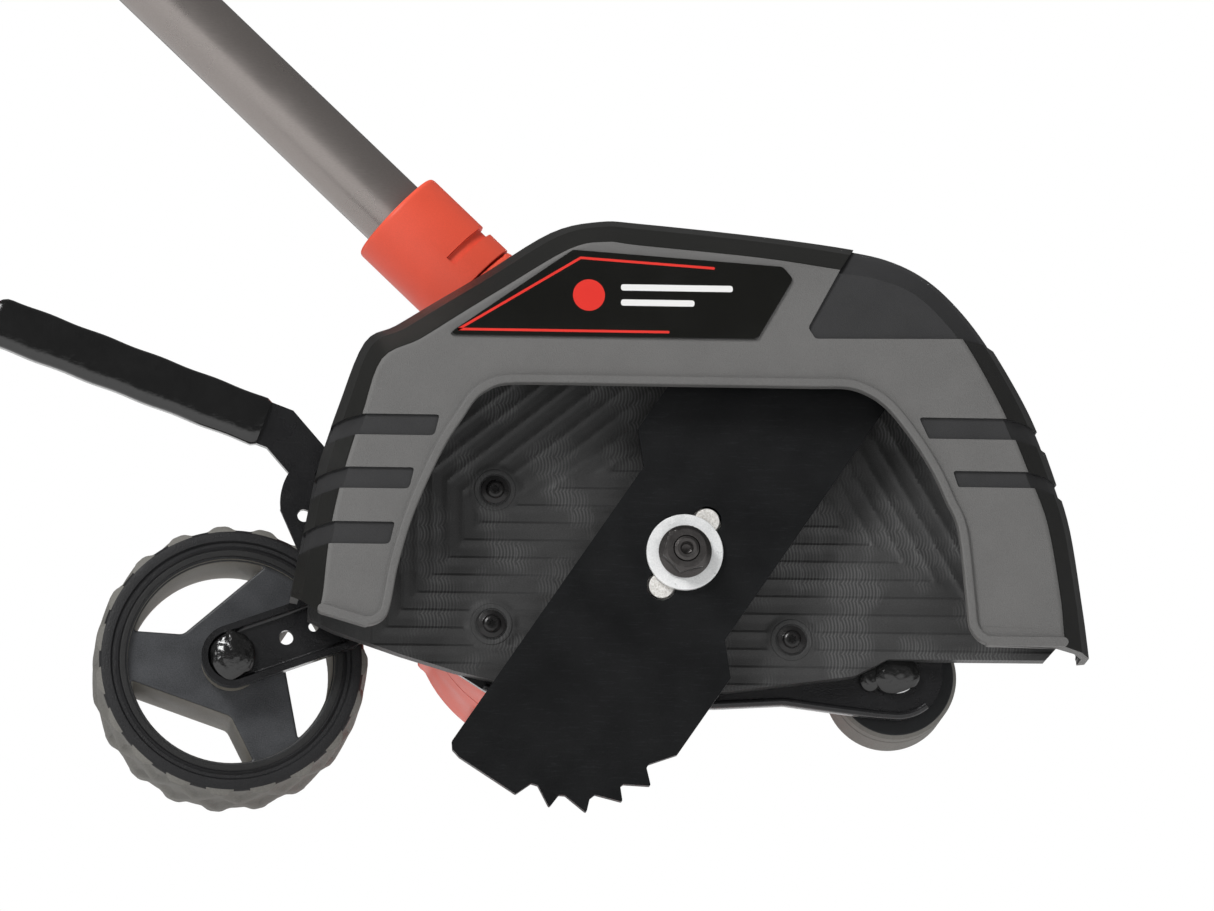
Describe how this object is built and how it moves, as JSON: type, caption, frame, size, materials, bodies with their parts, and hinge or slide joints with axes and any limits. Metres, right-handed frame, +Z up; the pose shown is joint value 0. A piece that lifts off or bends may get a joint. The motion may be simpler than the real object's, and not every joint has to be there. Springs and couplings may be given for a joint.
{
  "type": "lawn edger",
  "caption": "Battery lawn edger: guarded vertical blade with gear motor, depth lever with wheel, front roller, telescopic tube, second handle and rear handle with battery.",
  "frame": {"origin": "middle of the bounding box's underside, level with the blade's lowest tooth", "axes": "+X forward along the lawn edge, +Y from the blade side to the motor side, +Z up with the tool level as it stands at its present depth setting"},
  "size_m": [1.037, 0.1642, 1.0123],
  "materials": {
    "guard_grey": "fine leather-like moulded grain, dark grey face with black shoulder",
    "black_plastic": "satin moulded plastic",
    "red_plastic": "satin moulded plastic, signal red",
    "label": "glossy black panel with a thin red outline, no lettering",
    "blade_steel": "black oxide coated spring steel with scuffs",
    "black_steel": "black powder coat",
    "zinc": "bright zinc plated",
    "gear_steel": "machined and oiled",
    "cast_alloy": "as cast",
    "tube_aluminium": "satin taupe-grey anodised",
    "tyre_rubber": "moulded rubber tread",
    "grip_rubber": "soft-touch black",
    "dipped_vinyl": "glossy dipped sleeve"
  },
  "bodies": {
    "head": {"blade_guard": "guard_grey", "guard_back_plate": "black_plastic", "guard_screw_1": "black_steel", "guard_screw_2": "black_steel", "guard_screw_3": "black_steel", "guard_screw_4": "black_steel", "label_plate": "label", "chassis_plate": "black_steel", "motor_housing_front": "red_plastic", "motor_housing_rear": "red_plastic", "housing_screw_1": "zinc", "housing_screw_2": "zinc", "tube_collar": "red_plastic", "lower_tube": "tube_aluminium", "roller_axle": "zinc", "roller_retainer": "zinc", "pivot_bolt": "zinc", "gearbox_bulkhead": "cast_alloy", "spindle_bearing_front": "gear_steel", "spindle_bearing_rear": "gear_steel", "motor_bearing_front": "gear_steel", "motor_bearing_rear": "gear_steel", "motor_stator": "gear_steel"},
    "blade_drive": {"blade": "blade_steel", "blade_washer": "zinc", "blade_nut": "black_steel", "drive_flange": "zinc", "spindle": "gear_steel", "drive_gear": "gear_steel"},
    "rotor": {"motor_shaft": "gear_steel", "motor_rotor": "gear_steel", "cooling_fan": "black_plastic"},
    "roller": {"front_roller": "tyre_rubber"},
    "crank": {"depth_lever": "black_steel", "lever_grip": "dipped_vinyl", "wheel_arm": "black_steel", "pivot_tube": "zinc", "wheel_axle": "zinc", "wheel_nut": "zinc"},
    "rear_wheel": {"rear_rim": "black_plastic", "rear_tyre": "tyre_rubber"},
    "upper": {"upper_tube": "tube_aluminium", "handle_shell_front": "black_plastic", "handle_shell_rear": "black_plastic", "handle_soft_grip": "grip_rubber", "power_switch": "black_plastic", "aux_handle_clamp": "black_plastic", "aux_handle_bolt": "zinc"},
    "lock_sleeve": {"twist_lock_sleeve": "red_plastic"},
    "aux_handle": {"aux_handle_loop": "black_plastic", "aux_handle_grip": "grip_rubber"},
    "knob": {"aux_handle_knob": "black_plastic"},
    "trigger_lever": {"trigger": "red_plastic"},
    "lock_off": {"lock_off_button": "red_plastic"},
    "battery": {"battery_pack": "black_plastic"},
    "latch": {"battery_latch": "red_plastic"}
  },
  "joints": [
    {"name": "blade_spin", "type": "hinge", "parent": "head", "child": "blade_drive", "pos_m": [0.3907, -0.06656, 0.08206], "axis": [0, 1, 0], "continuous": true},
    {"name": "motor_spin", "type": "hinge", "parent": "head", "child": "rotor", "pos_m": [0.3577, -0.00656, 0.08206], "axis": [0, 1, 0], "continuous": true},
    {"name": "roller_spin", "type": "hinge", "parent": "head", "child": "roller", "pos_m": [0.4593, -0.02656, 0.04816], "axis": [0, 1, 0], "continuous": true},
    {"name": "depth_adjust", "type": "hinge", "parent": "head", "child": "crank", "pos_m": [0.3147, -0.03856, 0.08606], "axis": [0, -1, 0], "range_deg": [0, 19.3]},
    {"name": "wheel_spin", "type": "hinge", "parent": "crank", "child": "rear_wheel", "pos_m": [0.2512, -0.01056, 0.05256], "axis": [0, 1, 0], "continuous": true},
    {"name": "telescope", "type": "slide", "parent": "head", "child": "upper", "axis": [-0.7218, 0, 0.6921], "range_m": [0, 0.12]},
    {"name": "sleeve_twist", "type": "hinge", "parent": "upper", "child": "lock_sleeve", "pos_m": [0.02993, 0.00844, 0.46697], "axis": [-0.7218, 0, 0.6921], "range_deg": [0, 90]},
    {"name": "aux_handle_tilt", "type": "hinge", "parent": "upper", "child": "aux_handle", "pos_m": [-0.08199, 0.00844, 0.61032], "axis": [0, 1, 0], "range_deg": [-35, 35]},
    {"name": "knob_turn", "type": "hinge", "parent": "upper", "child": "knob", "pos_m": [-0.08199, 0.00844, 0.61032], "axis": [0, 1, 0], "continuous": true},
    {"name": "trigger_pull", "type": "slide", "parent": "upper", "child": "trigger_lever", "axis": [0.6921, 0, 0.7218], "range_m": [0, 0.006], "stiffness_N_per_m": 500},
    {"name": "lock_off_press", "type": "slide", "parent": "upper", "child": "lock_off", "axis": [0, -1, 0], "range_m": [0, 0.004], "stiffness_N_per_m": 300},
    {"name": "battery_slide", "type": "slide", "parent": "upper", "child": "battery", "axis": [-0.6921, 0, -0.7218], "range_m": [0, 0.11]},
    {"name": "latch_press", "type": "slide", "parent": "battery", "child": "latch", "axis": [-0.6921, 0, -0.7218], "range_m": [0, 0.003], "stiffness_N_per_m": 400}
  ],
  "couplings": [
    {"joint": "motor_spin", "follows": "blade_spin", "ratio": -4.5}
  ]
}
